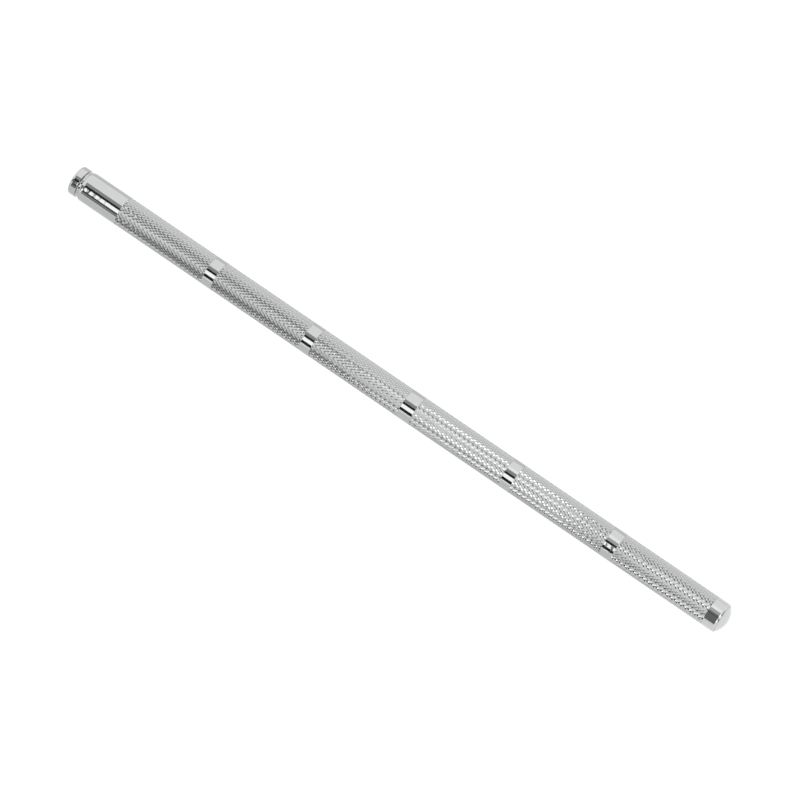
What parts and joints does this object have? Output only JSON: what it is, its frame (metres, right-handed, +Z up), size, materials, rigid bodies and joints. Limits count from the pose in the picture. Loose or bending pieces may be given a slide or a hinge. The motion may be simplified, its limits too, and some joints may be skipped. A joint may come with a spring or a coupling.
{
  "type": "pocket scriber",
  "caption": "Slender knurled chrome pocket scriber, closed, with a screw nose cap, a collet and a carbide-tipped needle that slides out of the nose.",
  "frame": {"origin": "on the tool's axis, half way between the nose face and the top of the dome", "axes": "+X along the axis towards the nose, where the needle comes out; +Z up with the scriber lying on its side; +Y completes the right-handed frame"},
  "size_m": [0.1492, 0.006, 0.006],
  "materials": {
    "chrome": "polished chrome plate on steel",
    "spring_steel": "ground spring steel, oiled",
    "needle_steel": "ground tool steel",
    "carbide": "ground tungsten carbide",
    "brass": "turned brass",
    "rubber": "matt black rubber",
    "aluminium": "drawn aluminium tube"
  },
  "bodies": {
    "barrel": {"barrel": "chrome", "collet_seat": "spring_steel", "buffer": "rubber", "distance_tube": "aluminium", "end_plug": "chrome"},
    "collet": {"collet": "spring_steel", "snap_ring": "spring_steel"},
    "nose_cap": {"nose_cap": "chrome"},
    "needle": {"needle": "needle_steel", "carbide_tip": "carbide", "needle_collar": "brass"}
  },
  "joints": [
    {"name": "cap_travel", "type": "slide", "parent": "barrel", "child": "collet", "axis": [1, 0, 0], "range_m": [0, 0.0025]},
    {"name": "cap_turn", "type": "hinge", "parent": "collet", "child": "nose_cap", "pos_m": [0.0724, 0, 0], "axis": [1, 0, 0], "range_deg": [0, 1800]},
    {"name": "needle_slide", "type": "slide", "parent": "barrel", "child": "needle", "axis": [1, 0, 0], "range_m": [0, 0.04]}
  ],
  "couplings": [
    {"joint": "cap_turn", "follows": "cap_travel", "rad_per_m": 12566}
  ]
}
